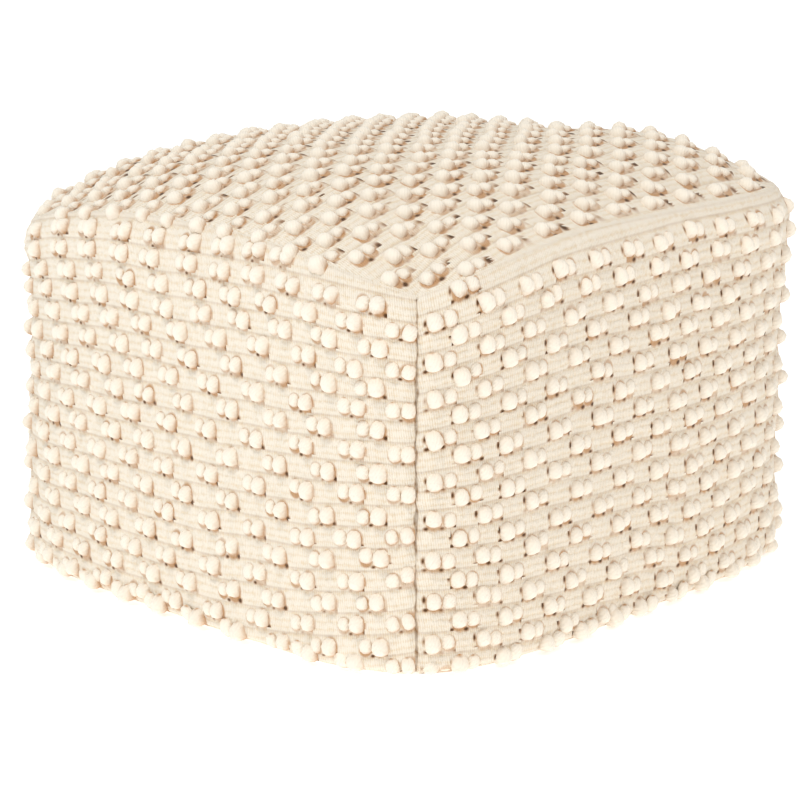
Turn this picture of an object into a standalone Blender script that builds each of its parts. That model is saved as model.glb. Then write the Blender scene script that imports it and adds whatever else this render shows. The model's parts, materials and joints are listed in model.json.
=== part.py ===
"""A square floor pouf of hand-woven cloth, filled, with a crowned top and a flat base.

The front corner points to +X, -Y. The body is one filled solid, and the base panel is a second one.
Lengths are in metres and the pouf stands on Z = 0.
"""

import math
from collections import namedtuple

import bmesh
import bpy
import numpy as np

# The filled body, measured at the cloth
HALF_SIDE = 0.254
SEAM_HEIGHT = 0.307
CROWN = 0.047
CROWN_POWER = 3.0
LOWER_ROLL = 0.020
LOW_BULGE = 0.0055
MID_TUCK = 0.0040
NECK = 0.010
NECK_HEIGHT = 0.030
BASE_SQUARENESS = 5.4
SEAM_SQUARENESS = 6.2
DROP_POWER_SIDE = 1.5
DROP_POWER_TOP = 2.0
DROP_POWER_ROUND = 1.5

# How far each corner of the top seam is pulled down, which isn't even
Corner = namedtuple("Corner", "name angle_deg drop")
CORNERS = (
    Corner("front", -45, 0.0250),
    Corner("right", 45, -0.0080),
    Corner("back", 135, 0.0160),
    Corner("left", 225, 0.0235),
)

# The woven ribs: they lie level on the sides, and along Y on the top
SIDE_RIBS = 19
TOP_RIBS = 29
RIB_CREST = 0.0035
RIB_VALLEY = -0.0020
SMOOTH_STRIP = 0.012

# The sewn channels
TOP_SEAM_DEPTH = 0.0025
CORNER_SEAM_DEPTH = 0.0030
CORNER_SEAM_HALF_WIDTH = 0.0045

# The base panel, and the gap between it and the body
BASE_THICKNESS = 0.0020
BASE_INSET = 0.0040
PIECE_GAP = 0.0003
BODY_BASE = BASE_THICKNESS + PIECE_GAP

# How finely the sheets are divided
FACE_COLUMNS = 12
ARC_STEPS = 720
TOP_ROWS = 14
TOP_EDGE_SHARE = 0.985
WELD_DISTANCE = 1e-6
SMOOTH_ANGLE = math.radians(50)


def clear_scene():
    for old in list(bpy.data.objects):
        bpy.data.objects.remove(old)


def new_material(name, colour, roughness):
    material = bpy.data.materials.new(name)
    material.use_nodes = True
    shader = material.node_tree.nodes["Principled BSDF"]
    shader.inputs["Base Color"].default_value = (*colour, 1.0)
    shader.inputs["Roughness"].default_value = roughness
    shader.inputs["Metallic"].default_value = 0.0
    material.diffuse_color = (*colour, 1.0)
    return material


def outline_reach(angle, squareness):
    """Distance from the centre to a rounded square of half side 1, in the direction of the angle."""
    total = abs(math.cos(angle)) ** squareness + abs(math.sin(angle)) ** squareness
    return total ** (-1 / squareness)


def corner_drop(angle):
    """How far the top seam is pulled down in the direction of the angle."""
    nearness = (1 - abs(math.cos(2 * angle))) ** DROP_POWER_ROUND
    drop = 0.0
    for corner in CORNERS:
        facing = max(0.0, math.cos(angle - math.radians(corner.angle_deg)))
        drop += corner.drop * facing**2
    return drop * nearness


def side_length():
    """Length of the side's profile, from the lower seam round the roll and up to the top seam."""
    return LOWER_ROLL * math.pi / 2 + SEAM_HEIGHT - LOWER_ROLL


def side_profile(distance):
    """Inset, height and downward tilt of the side at a distance up from its lower seam."""
    turn = distance / LOWER_ROLL
    if turn < math.pi / 2:
        inset = LOWER_ROLL * (1 - math.sin(turn))
        height = LOWER_ROLL * (1 - math.cos(turn))
        return inset, height, math.pi / 2 - turn
    height = SEAM_HEIGHT - (side_length() - distance)
    into_neck = max(0.0, 1 - (SEAM_HEIGHT - height) / NECK_HEIGHT)
    return NECK * into_neck**2, height, 0.0


def side_point(angle, distance, lift):
    """A point of the side, standing proud of the cloth by the lift."""
    inset, height, tilt = side_profile(distance)
    share = height / SEAM_HEIGHT
    bulge = LOW_BULGE * (1 - share) ** 2 - MID_TUCK * 4 * share * (1 - share)
    half = HALF_SIDE + bulge - inset + lift * math.cos(tilt)
    squareness = BASE_SQUARENESS + (SEAM_SQUARENESS - BASE_SQUARENESS) * share
    reach = half * outline_reach(angle, squareness)
    z = height - corner_drop(angle) * share**DROP_POWER_SIDE - lift * math.sin(tilt)
    return reach * math.cos(angle), reach * math.sin(angle), max(z, BODY_BASE)


def top_point(x, y, lift):
    """A point of the crowned top above x, y."""
    half = HALF_SIDE - NECK
    n = SEAM_SQUARENESS
    share = (abs(x / half) ** n + abs(y / half) ** n) ** (1 / n)
    angle = math.atan2(y, x)
    seam = SEAM_HEIGHT - corner_drop(angle) * share**DROP_POWER_TOP
    return x, y, seam + CROWN * (1 - share**CROWN_POWER) + lift


def column_angles():
    """Angles of the side's columns, evenly spaced along each face, with three at each corner seam."""
    fine = np.linspace(math.radians(-135), math.radians(-45), ARC_STEPS + 1)
    reach = np.array([HALF_SIDE * outline_reach(a, SEAM_SQUARENESS) for a in fine])
    steps = np.hypot(np.diff(reach * np.cos(fine)), np.diff(reach * np.sin(fine)))
    travelled = np.concatenate([[0.0], np.cumsum(steps)])
    last = travelled[-1] - CORNER_SEAM_HALF_WIDTH
    inner = np.linspace(CORNER_SEAM_HALF_WIDTH, last, FACE_COLUMNS + 1)
    one_face = np.interp(np.concatenate([[0.0], inner]), travelled, fine)
    return [float(a) + quarter * math.pi / 2 for quarter in range(4) for a in one_face]


def side_rows():
    """Distance up the side and lift of each row: every rib's two edges and crest, then the smooth strip."""
    ribbed = side_length() - SMOOTH_STRIP
    rows = []
    for step in range(2 * SIDE_RIBS + 1):
        lift = RIB_CREST if step % 2 else RIB_VALLEY
        rows.append((ribbed * step / (2 * SIDE_RIBS), lift))
    rows.append((side_length() - SMOOTH_STRIP / 2, 0.0))
    rows.append((side_length(), -TOP_SEAM_DEPTH))
    return rows


def add_side(bm):
    """The four sides as one ribbed sheet. Returns its lowest and highest rings of points."""
    angles = column_angles()
    rows = side_rows()
    per_face = len(angles) // 4
    made = bmesh.ops.create_grid(bm, x_segments=len(angles), y_segments=len(rows) - 1, size=1.0)
    rings = ([], [])
    for vert in made["verts"]:
        column = round((vert.co.x + 1) / 2 * len(angles))
        row = round((vert.co.y + 1) / 2 * (len(rows) - 1))
        distance, lift = rows[row]
        if column % per_face == 0:
            lift = -CORNER_SEAM_DEPTH if row else RIB_VALLEY
        vert.co = side_point(angles[column % len(angles)], distance, lift)
        if column < len(angles) and row in (0, len(rows) - 1):
            rings[row > 0].append(vert)
    bmesh.ops.remove_doubles(bm, verts=made["verts"], dist=WELD_DISTANCE)
    return rings


def add_top(bm):
    """The top as one sheet of ribs along Y, ending at the smooth strip. Returns its edge points."""
    half = HALF_SIDE - NECK - SMOOTH_STRIP
    columns = 2 * TOP_RIBS
    made = bmesh.ops.create_grid(bm, x_segments=columns, y_segments=TOP_ROWS, size=1.0)
    edge = []
    for vert in made["verts"]:
        column = round((vert.co.x + 1) / 2 * columns)
        row = round((vert.co.y + 1) / 2 * TOP_ROWS)
        across = (2 * column / columns - 1) * TOP_EDGE_SHARE
        run = (1 - abs(across) ** SEAM_SQUARENESS) ** (1 / SEAM_SQUARENESS)
        lift = RIB_CREST if column % 2 else RIB_VALLEY
        vert.co = top_point(across * half, (2 * row / TOP_ROWS - 1) * run * half, lift)
        if column in (0, columns) or row in (0, TOP_ROWS):
            edge.append(vert)
    return edge


def loft_between(bm, outer, inner):
    """The strip of faces between two rings of points whose counts differ."""
    outer, inner = (sorted(ring, key=lambda v: math.atan2(v.co.y, v.co.x)) for ring in (outer, inner))
    i = j = 0
    while i < len(outer) or j < len(inner):
        here_out, here_in = outer[i % len(outer)], inner[j % len(inner)]
        next_out, next_in = outer[(i + 1) % len(outer)], inner[(j + 1) % len(inner)]
        out_first = (here_in.co - next_out.co).length < (here_out.co - next_in.co).length
        if j == len(inner) or (i < len(outer) and out_first):
            bm.faces.new((here_out, next_out, here_in))
            i += 1
        else:
            bm.faces.new((here_out, next_in, here_in))
            j += 1


def make_body(collection, material):
    bm = bmesh.new()
    lowest, highest = add_side(bm)
    loft_between(bm, highest, add_top(bm))
    bm.faces.new(sorted(lowest, key=lambda v: math.atan2(v.co.y, v.co.x)))
    bmesh.ops.recalc_face_normals(bm, faces=bm.faces)
    mesh = bpy.data.meshes.new("pouf_body")
    bm.to_mesh(mesh)
    bm.free()
    mesh.materials.append(material)
    mesh.shade_smooth()
    mesh.set_sharp_from_angle(angle=SMOOTH_ANGLE)
    body = bpy.data.objects.new("pouf_body", mesh)
    collection.objects.link(body)


def make_base(collection, material):
    """The flat panel that closes the base, a little inside the body's lower seam."""
    half = HALF_SIDE + LOW_BULGE - LOWER_ROLL - BASE_INSET
    angles = column_angles()
    curve = bpy.data.curves.new("base_panel", "CURVE")
    curve.dimensions = "2D"
    curve.fill_mode = "BOTH"
    curve.extrude = BASE_THICKNESS / 2
    outline = curve.splines.new("POLY")
    outline.points.add(len(angles) - 1)
    outline.use_cyclic_u = True
    for point, angle in zip(outline.points, angles):
        reach = half * outline_reach(angle, BASE_SQUARENESS)
        point.co = (reach * math.cos(angle), reach * math.sin(angle), 0.0, 1.0)
    curve.materials.append(material)
    base = bpy.data.objects.new("base_panel", curve)
    base.location.z = BASE_THICKNESS / 2
    collection.objects.link(base)


def main():
    clear_scene()
    collection = bpy.data.collections.new("pouf")
    bpy.context.scene.collection.children.link(collection)
    make_body(collection, new_material("woven_yarn", (0.80, 0.71, 0.56), 0.95))
    make_base(collection, new_material("base_cloth", (0.66, 0.58, 0.46), 0.95))


main()
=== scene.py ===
"""Looks of the square floor pouf: ribbed hand weaving with yarn loops in pairs, over a filled body."""

import json
import math
import random
from collections import namedtuple

import bmesh
import bpy
import numpy as np
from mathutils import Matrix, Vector, kdtree, noise

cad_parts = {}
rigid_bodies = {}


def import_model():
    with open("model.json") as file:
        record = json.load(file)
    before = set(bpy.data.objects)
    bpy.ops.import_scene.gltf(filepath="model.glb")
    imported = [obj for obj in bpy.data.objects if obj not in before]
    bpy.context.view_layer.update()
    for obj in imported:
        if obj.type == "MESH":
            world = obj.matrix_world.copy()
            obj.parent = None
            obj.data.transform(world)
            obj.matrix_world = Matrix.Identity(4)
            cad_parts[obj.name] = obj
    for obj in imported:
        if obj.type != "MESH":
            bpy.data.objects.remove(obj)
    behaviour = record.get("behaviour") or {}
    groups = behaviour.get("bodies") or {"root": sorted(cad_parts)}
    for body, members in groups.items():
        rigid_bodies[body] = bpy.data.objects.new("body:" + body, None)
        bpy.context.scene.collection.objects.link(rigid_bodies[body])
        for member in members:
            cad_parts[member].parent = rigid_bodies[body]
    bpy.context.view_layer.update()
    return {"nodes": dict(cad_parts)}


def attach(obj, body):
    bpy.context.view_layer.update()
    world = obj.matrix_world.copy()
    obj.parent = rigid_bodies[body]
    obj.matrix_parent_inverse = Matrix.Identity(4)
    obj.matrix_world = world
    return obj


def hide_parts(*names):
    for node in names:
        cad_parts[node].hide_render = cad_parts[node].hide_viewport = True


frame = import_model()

# The filled body, measured at the cloth
HALF_SIDE = 0.254
SEAM_HEIGHT = 0.313
CROWN = 0.0385
CROWN_POWER = 3.0
LOWER_ROLL = 0.013
LOW_BULGE = 0.0075
MID_TUCK = 0.0012
NECK = 0.010
NECK_HEIGHT = 0.030
BASE_SQUARENESS = 4.6
SEAM_SQUARENESS = 6.2
DROP_POWER_SIDE = 1.5
DROP_POWER_TOP = 2.0
DROP_POWER_ROUND = 1.5
BODY_BASE = 0.0023

# How far each corner of the top seam is pulled down
Corner = namedtuple("Corner", "name angle_deg drop")
CORNERS = (
    Corner("front", -45, 0.0310),
    Corner("right", 45, 0.0030),
    Corner("back", 135, 0.0220),
    Corner("left", 225, 0.0310),
)

# The woven ribs, three weft yarns each: they lie nearly level on the sides, and along Y on the top
LOWEST_RIB = -1
HIGHEST_RIB = 21
TOP_RIBS = 29
RIB_PITCH = 0.0161
RIB_CREST = 0.0002
RIB_VALLEY = -0.0009
RIB_ROUNDNESS = 2.1
SMOOTH_STRIP = 0.0050
SIDE_STRIP = 0.0025
YARNS_PER_RIB = 3
WARPS_PER_RIB = 9

# The sewn channels
TOP_SEAM_DEPTH = 0.0004
TOP_SEAM_HALF_WIDTH = 0.0050
CORNER_SEAM_DEPTH = 0.0018
CORNER_SEAM_HALF_WIDTH = 0.0026
CORNER_SEAM_SWAY = 0.0007

# Where the filling stands higher under the top, towards the right corner, and lower, at the back left
Swell = namedtuple("Swell", "x y reach rise")
SWELLS = (
    Swell(0.150, 0.165, 0.085, 0.0120),
    Swell(-0.215, 0.030, 0.110, -0.0095),
)
SWELL_FADE = 6

# Where the filling leaves the left corner a little slack, above its middle
SLACK_ANGLE = math.radians(-135)
SLACK_TUCK = 0.0080
SLACK_FOCUS = 16
SLACK_RAISE = 4

# How the hand weaving wanders, and over what distances
RIB_WANDER = 0.0008
RIB_WANDER_SIZE = 0.045
CLOTH_WAVE = 0.0009
CLOTH_WAVE_SIZE = 0.070
SEAM_SWAY_SIZE = 0.016
WANDER_FADE = 0.03
SIDE_WAVE_FROM = Vector((3.1, 1.7, 0.4))
TOP_WAVE_FROM = Vector((5.3, 2.9, 1.4))

# The pairs of yarn loops: how far apart, how near the edges, and how far out of line they stand
TOP_PAIR_PITCH = 0.0423
TOP_FIRST_PAIR = -8 * TOP_PAIR_PITCH - 0.004
TOP_FRONT_OVERRUN = 0.008
SIDE_PAIR_PITCH = 0.0405
LOWEST_PAIR = 0.0135
PAIR_FROM_SEAM = 0.004
PAIR_FROM_FOOT = 0.002
PAIR_SCATTER = 0.0011
RIB_SCATTER = 0.035

# One yarn loop: its size, how blunt its ends are, how square its section is and how its yarn goes down
LOOP_WIDTH = 0.0124
LOOP_HEIGHT = 0.0150
LOOP_TIP = 0.0056
LOOP_SINK = 0.0002
LOOP_SPACING = 0.0118
LOOP_BLUNTNESS = 2.6
LOOP_SQUARENESS = 2.3
LOOP_FOOT_DROP = 0.0022
LOOP_SIDES = 10
LOOP_PLIES = 8
LOOP_RINGS = (-0.93, -0.60, 0.0, 0.60, 0.93)
LOOP_FORMS = 3
LOOP_SEED = 11

# Where shade is painted on a loop in tan: low down, and most at its lower right, where its yarn goes into
# the cloth
TAN_HEIGHT = 0.0032
TAN_FADE = 0.0042
TAN_DOWN = 0.65
TAN_RIGHT = 0.70
TAN_START = 0.16
TAN_RUN = 0.50
LEAST_TAN = 0.15

# How the two loops of a pair differ, and how single loops differ from them
NEAR_LOOP_SIZE = Vector((1.02, 0.95, 1.26))
FAR_LOOP_SIZE = Vector((0.87, 0.80, 0.56))
SPACING_RANGE = (0.94, 1.10)
SIDE_SIZE_RANGE = (0.92, 1.06)
TOP_SIZE_RANGE = (0.92, 1.05)
LOOP_SCATTER = 0.045
LEAST_FROM_CORNER = 0.0055
CORNER_LOOP_REACH = 0.009
CORNER_LOOP_SIZE = 0.88
TOP_LOOP_FROM_EDGE = 0.005
SPOT_STEP = 0.004
SPOT_RIB_STEP = 0.3

# The lowest loops, which the floor squeezes: out on the sides, and in at the corners
FLOOR_CLEARANCE = 0.0006
MOST_LIFT = 0.0062
FOOT_PUSH = 0.0028
FOOT_CORNER_PULL = 2.4
FOOT_LEAN = 0.35
FOOT_LOOP_SIZE = (1.12, 0.98, 1.15)

# The filling stretches the cloth of the sides: pairs move away from their seam, most at half height
STRETCH_START = 0.053
STRETCH_RUN = 0.185
STRETCH_MIDDLE = 0.031
STRETCH_LOSS = 0.048
STRETCH_RIB = 9
STRETCH_RIBS = 9.5

# The painted shade of the gaps that a pair opens in the weave, brown, measured from the pair's middle
Gap = namedtuple("Gap", "along up half_width half_height")
NEAR_FIRST_GAPS = (
    Gap(0.0004, -0.0070, 0.0029, 0.0021),
    Gap(0.0114, -0.0064, 0.0028, 0.0019),
    Gap(-0.0116, -0.0066, 0.0026, 0.0020),
    Gap(-0.0130, 0.0016, 0.0016, 0.0034),
)
NEAR_LAST_GAPS = (
    Gap(0.0002, -0.0070, 0.0022, 0.0016),
    Gap(0.0122, -0.0062, 0.0026, 0.0026),
)
TOP_GAPS = (
    Gap(0.0158, -0.0026, 0.0042, 0.0056),
    Gap(0.0012, -0.0078, 0.0032, 0.0026),
)
# Painted shade: tan rims on the cloth at the lower edge of each loop, where its yarn goes into the cloth
NEAR_FIRST_RIMS = (
    Gap(-0.0053, -0.0011, 0.0067, 0.0077),
    Gap(0.0063, -0.0009, 0.0058, 0.0066),
)
NEAR_LAST_RIMS = (
    Gap(-0.0055, -0.0009, 0.0058, 0.0066),
    Gap(0.0066, -0.0011, 0.0067, 0.0077),
)
TOP_RIMS = (
    Gap(-0.0057, -0.0020, 0.0066, 0.0078),
    Gap(0.0062, -0.0016, 0.0058, 0.0068),
)
PAIR_UNIT = 0.020
FAR_FROM_PAIRS = (5.0, 5.0)

# What sets of painted-shade gaps and rims there are, each with a shift of its own in the cover's "pairs" UV
# map
NEAR_FIRST_SHIFT, NEAR_LAST_SHIFT, TOP_SHIFT = 0.0, -10.0, 10.0
OPENINGS = ((NEAR_FIRST_GAPS, NEAR_FIRST_SHIFT), (NEAR_LAST_GAPS, NEAR_LAST_SHIFT), (TOP_GAPS, TOP_SHIFT))
RIMS = ((NEAR_FIRST_RIMS, NEAR_FIRST_SHIFT), (NEAR_LAST_RIMS, NEAR_LAST_SHIFT), (TOP_RIMS, TOP_SHIFT))
OPENING_FADE = (0.2, 1.3)
RIM_FADE = (0.86, 1.12)

# The sides in the order of their angles. Each panel's pairs and ribs are laid out from one of its seams:
# how far from it the pairs begin on even and odd ribs, the lowest rib's height and the rib pitch at that
# seam and far from it, and how quickly the ribs bend from the one to the other
Panel = namedtuple("Panel", "name start_deg from_end even_gap odd_gap seam_rise seam_pitch far_rise "
                            "far_pitch bend")
PANELS = (
    Panel("left front", -135, True, 0.0340, 0.0110, -0.0030, 0.0169, -0.0390, 0.0178, 1.7),
    Panel("right front", -45, False, 0.0389, 0.0183, 0.0128, 0.0163, -0.0170, 0.0183, 0.65),
    Panel("right back", 45, True, 0.0360, 0.0130, 0.0010, 0.0166, -0.0150, 0.0175, 1.4),
    Panel("left back", 135, False, 0.0350, 0.0140, 0.0030, 0.0165, -0.0190, 0.0177, 1.0),
)
BEND_REACH = 0.270

# How finely the cover is divided
COLUMN_STEP = 0.0046
ROWS_PER_RIB = 7
TOP_ROWS = 66
TOP_EDGE_SHARE = 0.991
TOP_STRIP_RING = 0.0034
TOP_RIB_FADE = 0.004
EDGE_RIB_FADE = 0.25
SAME_HEIGHT = 1e-7
ARC_STEPS = 1440

# How deep in shadow the cover lies, from 0 to 1, between ribs and on its seams
VALLEY_HOLLOW = 0.5
TOP_SEAM_HOLLOW = 0.4
TOP_STRIP_HOLLOW = 0.25
CORNER_SEAM_HOLLOW = 0.55
CORNER_SEAM_FOCUS = 1.5

# The filling's pressure, worked out by cloth simulation on a plain copy of the body
START_INSET = 0.0012
SIM_VOXEL = 0.0065
SIM_PRESSURE = 4.0
SIM_FRAMES = 20
SIM_REACH = 0.0030
SIM_SMOOTHING = 12
SIM_FOOT = 0.012
SIM_MOST_MOVES = 95
SIM_NEIGHBOURS = 6
SIM_SOFTNESS = 0.002

# The photograph's camera
VIEW_AZIMUTH_DEG = 43.41
VIEW_ELEVATION_DEG = 14.02
VIEW_DISTANCE = 2.009
VIEW_TARGET = Vector((0.0, 0.0, 0.15))
LENS_MM = 108.0
SENSOR_MM = 36.0
FRAME_SHIFT = (-0.005, -0.0325)


def outline_reach(angle, squareness):
    """Distance from the centre to a rounded square of half side 1, in the direction of the angle."""
    total = abs(math.cos(angle)) ** squareness + abs(math.sin(angle)) ** squareness
    return total ** (-1 / squareness)


def corner_nearness(angle):
    """1 on a corner, falling to 0 in the middle of a side."""
    return (1 - abs(math.cos(2 * angle))) ** DROP_POWER_ROUND


def corner_drop(angle):
    """How far the top seam is pulled down in the direction of the angle."""
    drop = 0.0
    for corner in CORNERS:
        facing = max(0.0, math.cos(angle - math.radians(corner.angle_deg)))
        drop += corner.drop * facing**2
    return drop * corner_nearness(angle)


def side_length():
    """Length of the side's profile, from the lower seam round the roll and up to the top seam."""
    return LOWER_ROLL * math.pi / 2 + SEAM_HEIGHT - LOWER_ROLL


def side_profile(distance):
    """Inset, height and downward tilt of the side at a distance up from its lower seam."""
    turn = distance / LOWER_ROLL
    if turn < math.pi / 2:
        inset = LOWER_ROLL * (1 - math.sin(turn))
        height = LOWER_ROLL * (1 - math.cos(turn))
        return inset, height, math.pi / 2 - turn
    height = SEAM_HEIGHT - (side_length() - distance)
    into_neck = max(0.0, 1 - (SEAM_HEIGHT - height) / NECK_HEIGHT)
    return NECK * into_neck**2, height, 0.0


def side_point(angle, distance, lift):
    """A point of the side, standing proud of the cloth by the lift."""
    inset, height, tilt = side_profile(distance)
    share = height / SEAM_HEIGHT
    bulge = LOW_BULGE * (1 - share) ** 2 - MID_TUCK * 4 * share * (1 - share)
    half = HALF_SIDE + bulge - inset + lift * math.cos(tilt)
    squareness = BASE_SQUARENESS + (SEAM_SQUARENESS - BASE_SQUARENESS) * share
    reach = half * outline_reach(angle, squareness)
    facing = max(0.0, math.cos(angle - SLACK_ANGLE)) ** SLACK_FOCUS
    reach -= SLACK_TUCK * facing * math.sin(math.pi * min(1.0, share) ** SLACK_RAISE)
    z = height - corner_drop(angle) * share**DROP_POWER_SIDE - lift * math.sin(tilt)
    return Vector((reach * math.cos(angle), reach * math.sin(angle), max(z, BODY_BASE)))


def top_point(x, y, lift):
    """A point of the crowned top above x, y."""
    half = HALF_SIDE - NECK
    n = SEAM_SQUARENESS
    share = (abs(x / half) ** n + abs(y / half) ** n) ** (1 / n)
    angle = math.atan2(y, x)
    seam = SEAM_HEIGHT - corner_drop(angle) * share**DROP_POWER_TOP
    fuller = 0.0
    for swell in SWELLS:
        away = math.hypot(x - swell.x, y - swell.y) / swell.reach
        fuller += swell.rise * math.exp(-away * away) * max(0.0, 1 - share**SWELL_FADE)
    return Vector((x, y, seam + CROWN * (1 - share**CROWN_POWER) + fuller + lift))


class Walk:
    """Distances walked along one side, from corner to corner, and the angles that they reach."""

    def __init__(self):
        self.fine = np.linspace(math.radians(-45), math.radians(45), ARC_STEPS + 1)
        reach = np.array([HALF_SIDE * outline_reach(a, SEAM_SQUARENESS) for a in self.fine])
        steps = np.hypot(np.diff(reach * np.cos(self.fine)), np.diff(reach * np.sin(self.fine)))
        self.travelled = np.concatenate([[0.0], np.cumsum(steps)])
        self.length = float(self.travelled[-1])

    def angle(self, panel, along):
        turn = math.radians(panel.start_deg + 45)
        return turn + float(np.interp(along, self.travelled, self.fine))

    def stations(self):
        """Distances of the cover's columns along one side, closer together at the corner seams."""
        edge = CORNER_SEAM_HALF_WIDTH
        count = round((self.length - 2 * edge) / COLUMN_STEP)
        middle = [float(d) for d in np.linspace(edge, self.length - edge, count + 1)]
        close = [0.2 * edge, 0.5 * edge]
        return close + middle + [self.length - d for d in reversed(close)]


WALK = Walk()


def rib_share(ribs):
    """0 in the valley between two ribs and 1 on a crest, for a place counted in ribs."""
    return 1 - abs(2 * (ribs % 1.0) - 1) ** RIB_ROUNDNESS


def wander(place, size, amount):
    """A slow unevenness of the hand weaving."""
    return amount * 2 * noise.noise(place / size)


class Filling:
    """How far the filling moves the cloth at each place, or nothing before it has been worked out."""

    def __init__(self):
        self.tree = None
        self.moves = None

    def at(self, place):
        if self.tree is None:
            return Vector((0.0, 0.0, 0.0))
        total = Vector((0.0, 0.0, 0.0))
        weights = 0.0
        for _, index, distance in self.tree.find_n(place, SIM_NEIGHBOURS):
            weight = 1 / (distance + SIM_SOFTNESS) ** 2
            total += weight * self.moves[index]
            weights += weight
        return total / weights

    def settled(self, place):
        moved = place + self.at(place)
        moved.z = max(moved.z, BODY_BASE)
        return moved


FILLING = Filling()


def rib_line(panel, along):
    """The height of the lowest rib and the rib pitch at a distance along a side."""
    from_seam = WALK.length - along if panel.from_end else along
    inwards = 1 - max(0.0, 1 - from_seam / BEND_REACH) ** panel.bend
    rise = panel.seam_rise + (panel.far_rise - panel.seam_rise) * inwards
    pitch = panel.seam_pitch + (panel.far_pitch - panel.seam_pitch) * inwards
    return rise, pitch


def rib_distance(panel, along, ribs):
    """How far up the side a rib lies, which may be past its seams."""
    rise, pitch = rib_line(panel, along)
    return rise + pitch * ribs


def side_spot(panel, along, distance, lift):
    """A point of a side, at a distance along it and a distance up it."""
    to_corner = min(along, WALK.length - along)
    seamward = max(0.0, 1 - to_corner / (4 * CORNER_SEAM_HALF_WIDTH))
    seam_place = Vector((panel.start_deg, 0.0, distance))
    sway = seamward * wander(seam_place, SEAM_SWAY_SIZE, CORNER_SEAM_SWAY)
    angle = WALK.angle(panel, along) + sway / HALF_SIDE
    centred = max(0.0, min(1.0, distance / WANDER_FADE, (side_length() - distance) / WANDER_FADE))
    level = side_point(angle, distance, 0.0)
    distance += centred * wander(level, RIB_WANDER_SIZE, RIB_WANDER)
    swell = centred * wander(level + SIDE_WAVE_FROM, CLOTH_WAVE_SIZE, CLOTH_WAVE)
    return side_point(angle, distance, lift + swell)


def top_spot(ribs, y, lift):
    """A point of the top, at a place across it counted in ribs from its left edge."""
    half = (HALF_SIDE - NECK - SMOOTH_STRIP) * TOP_EDGE_SHARE
    x = (2 * ribs / TOP_RIBS - 1) * half
    inside = min(1.0, ribs, TOP_RIBS - ribs)
    level = top_point(x, y, 0.0)
    x += inside * wander(level, RIB_WANDER_SIZE, RIB_WANDER)
    swell = inside * wander(level + TOP_WAVE_FROM, CLOTH_WAVE_SIZE, CLOTH_WAVE)
    return top_point(x, y, lift + swell)


def channel(distance, half_width):
    """1 in the middle of a sewn channel, falling smoothly to 0 at its edge."""
    return max(0.0, 1 - (distance / half_width) ** 2) ** 2


def top_half_run(ribs):
    """Half the length of the top's ribs at a place across it."""
    across = abs(2 * ribs / TOP_RIBS - 1) * TOP_EDGE_SHARE
    run = (1 - across**SEAM_SQUARENESS) ** (1 / SEAM_SQUARENESS)
    return run * (HALF_SIDE - NECK - SMOOTH_STRIP)


class Pairs:
    """Where the pairs of loops stand on one panel, as a distance along the ribs and a count of ribs."""

    def __init__(self, centres, upward, shift):
        self.centres = centres
        self.upward = upward
        self.shift = shift
        self.tree = kdtree.KDTree(len(centres))
        for index, (along, ribs) in enumerate(centres):
            self.tree.insert((along, ribs * RIB_PITCH, 0.0), index)
        self.tree.balance()

    def offsets(self, corners):
        """Each corner's place from the pair nearest to their middle, in pair units, with the shift."""
        along = sum(corner[0] for corner in corners) / len(corners)
        ribs = sum(corner[1] for corner in corners) / len(corners)
        index = self.tree.find((along, ribs * RIB_PITCH, 0.0))[1]
        from_along, from_ribs = self.centres[index]
        return [((corner[0] - from_along) / PAIR_UNIT + self.shift,
                 self.upward * (corner[1] - from_ribs) * RIB_PITCH / PAIR_UNIT) for corner in corners]


def stretched(from_seam, ribs):
    """Where a pair comes to lie, once the filling has stretched the cloth away from the seam."""
    share = min(1.0, max(0.0, (from_seam - STRETCH_START) / STRETCH_RUN))
    ease = share * share * (3 - 2 * share)
    pull = STRETCH_MIDDLE - STRETCH_LOSS * abs((ribs - STRETCH_RIB) / STRETCH_RIBS) ** 3
    return from_seam + pull * ease


def side_pairs(panel, chance):
    """The pairs of one side. Those of neighbouring ribs are half a pitch apart."""
    centres = []
    for rib in range(LOWEST_RIB, HIGHEST_RIB):
        base = panel.odd_gap if rib % 2 else panel.even_gap
        while base < WALK.length:
            from_seam = stretched(base, rib + 0.5) + chance.gauss(0.0, PAIR_SCATTER)
            along = WALK.length - from_seam if panel.from_end else from_seam
            level = rib + 0.5 + chance.gauss(0.0, RIB_SCATTER)
            up = rib_distance(panel, along, level)
            base += SIDE_PAIR_PITCH
            on_panel = PAIR_FROM_SEAM < along < WALK.length - PAIR_FROM_SEAM
            if on_panel and PAIR_FROM_FOOT < up < side_length() - PAIR_FROM_SEAM:
                rise, pitch = rib_line(panel, along)
                centres.append((along, max(level, (LOWEST_PAIR - rise) / pitch)))
    return Pairs(centres, 1.0, NEAR_LAST_SHIFT if panel.from_end else NEAR_FIRST_SHIFT)


def top_pairs(chance):
    """The pairs of the top, up to the smooth strip, and closer to the seam on the left front."""
    centres = []
    for rib in range(TOP_RIBS):
        run = top_half_run(rib + 0.5) - PAIR_FROM_SEAM
        along = TOP_FIRST_PAIR + (TOP_PAIR_PITCH / 2 if rib % 2 else 0.0)
        while along < run:
            if along > -run - TOP_FRONT_OVERRUN:
                centres.append((along + chance.gauss(0.0, PAIR_SCATTER),
                                rib + 0.5 + chance.gauss(0.0, RIB_SCATTER)))
            along += TOP_PAIR_PITCH
    return Pairs(centres, -1.0, TOP_SHIFT)


CHANCE = random.Random(LOOP_SEED)
SIDE_PAIRS = [side_pairs(panel, CHANCE) for panel in PANELS]
TOP_PAIRS = top_pairs(CHANCE)


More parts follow.
